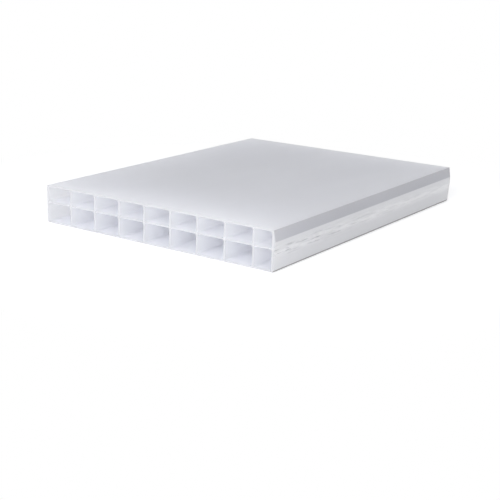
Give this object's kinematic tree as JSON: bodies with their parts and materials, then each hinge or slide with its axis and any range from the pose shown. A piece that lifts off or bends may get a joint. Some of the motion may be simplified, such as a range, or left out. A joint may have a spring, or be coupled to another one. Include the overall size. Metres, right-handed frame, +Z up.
{
  "type": "multiwall polycarbonate sheet",
  "caption": "Sawn piece of opal three-wall hollow glazing sheet, with open flutes at both ends and a closed wall along each side, one of them upright and one leaning out a little from both skins.",
  "frame": {"origin": "centre of the bottom face, on the surface that the sheet lies on", "axes": "+Y along the flutes, +X across them towards the side wall that leans out, +Z up through the thickness"},
  "size_m": [0.1782, 0.234, 0.025],
  "materials": {
    "opal_polycarbonate": "opal, glossy, slightly translucent"
  },
  "bodies": {
    "root": {"multiwall_sheet": "opal_polycarbonate"}
  },
  "joints": []
}
